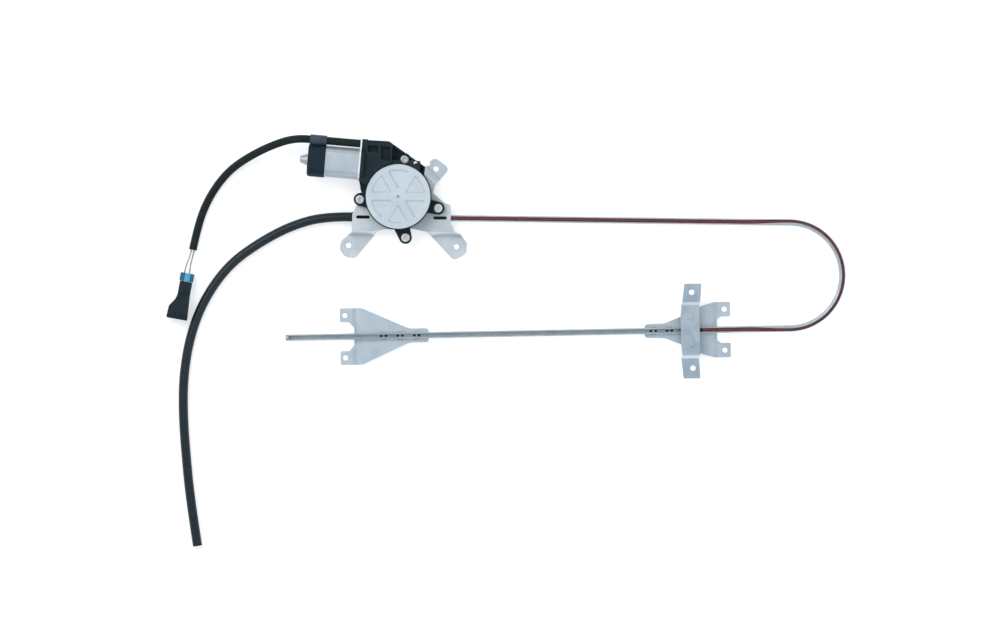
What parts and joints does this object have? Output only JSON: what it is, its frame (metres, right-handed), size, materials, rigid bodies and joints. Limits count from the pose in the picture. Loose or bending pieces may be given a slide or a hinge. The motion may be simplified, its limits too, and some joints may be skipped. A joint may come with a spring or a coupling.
{
  "type": "window regulator",
  "caption": "Cable window regulator: geared motor on a three-legged bracket pushes a toothed cable through a slotted U-bent tube, moving a lift bracket along the rail.",
  "frame": {"origin": "centre of the lower left leg's bolt hole, in the mounting plane under the legs and rail ears", "axes": "+X along the rail away from the motor's side, +Y from the rail to the motor, +Z off the door panel towards the glass"},
  "size_m": [0.8489, 0.512, 0.049],
  "materials": {
    "zinc_sheet": "zinc-plated sheet steel",
    "zinc_tube": "zinc-plated steel tube",
    "plated_can": "nickel-plated drawn can",
    "steel": "plain and plated steel",
    "flocked_cable": "dark red coated steel cable",
    "black_plastic": "moulded black plastic",
    "white_plastic": "acetal gear",
    "black_rubber": "rubber",
    "hose_plastic": "smooth black hose",
    "conduit_plastic": "matte black conduit",
    "wire_skin": "pale wire insulation",
    "blue_plastic": "blue plastic",
    "copper": "copper",
    "bronze": "sintered bronze",
    "ferrite": "ferrite and carbon"
  },
  "bodies": {
    "chassis": {"motor_bracket": "zinc_sheet", "guide_housing": "black_plastic", "rear_cover": "zinc_sheet", "rear_cover_screws": "steel", "guide_tube": "zinc_tube", "tube_end_plug": "zinc_tube", "cable_at_sprocket": "flocked_cable", "cable_in_tube": "flocked_cable", "cable_in_rail": "flocked_cable", "rail_bracket_left": "zinc_sheet", "rail_bracket_right": "zinc_sheet", "rail_welds": "zinc_tube", "axle_pin": "steel", "output_bush": "bronze", "gearbox": "black_plastic", "gearbox_cover": "zinc_sheet", "gearbox_screws": "steel", "lead_gland": "black_plastic", "motor_can": "plated_can", "end_sleeve": "black_rubber", "lead_clip": "black_rubber", "motor_magnets": "ferrite", "armature_bushes": "bronze", "brush_card": "black_plastic", "brushes": "ferrite", "run_out_hose": "hose_plastic", "conduit": "conduit_plastic", "wire_red": "wire_skin", "wire_black": "wire_skin", "connector_housing": "black_plastic", "connector_terminals": "copper"},
    "armature": {"armature_shaft": "steel", "armature_core": "steel", "armature_windings": "copper", "commutator": "copper", "worm": "steel"},
    "gear_train": {"worm_wheel": "white_plastic", "coupler_damper": "black_rubber", "drive_coupler": "steel", "drive_sprocket": "steel"},
    "lift": {"cable_end": "steel", "slider": "black_plastic", "lift_bracket": "zinc_sheet", "lift_rivets": "steel"},
    "lock": {"connector_lock": "blue_plastic"}
  },
  "joints": [
    {"name": "armature_spin", "type": "hinge", "parent": "chassis", "child": "armature", "pos_m": [0.06729, 0.09564, 0.03105], "axis": [0.9945, -0.1045, 0], "range_deg": [0, 63360]},
    {"name": "gear_spin", "type": "hinge", "parent": "chassis", "child": "gear_train", "pos_m": [0.06351, 0.05964, 0.00955], "axis": [0, 0, 1], "range_deg": [0, 1056.5], "deforming": ["cable_at_sprocket"]},
    {"name": "lift_slide", "type": "slide", "parent": "chassis", "child": "lift", "axis": [-1, 0, 0], "range_m": [0, 0.4402], "deforming": ["cable_in_rail"]},
    {"name": "lock_slide", "type": "slide", "parent": "chassis", "child": "lock", "axis": [0.1994, 0.9799, 0], "range_m": [0, 0.003]}
  ],
  "couplings": [
    {"joint": "gear_spin", "follows": "armature_spin", "ratio": 0.016667},
    {"joint": "lift_slide", "follows": "armature_spin", "m_per_rad": 0.00039789}
  ]
}
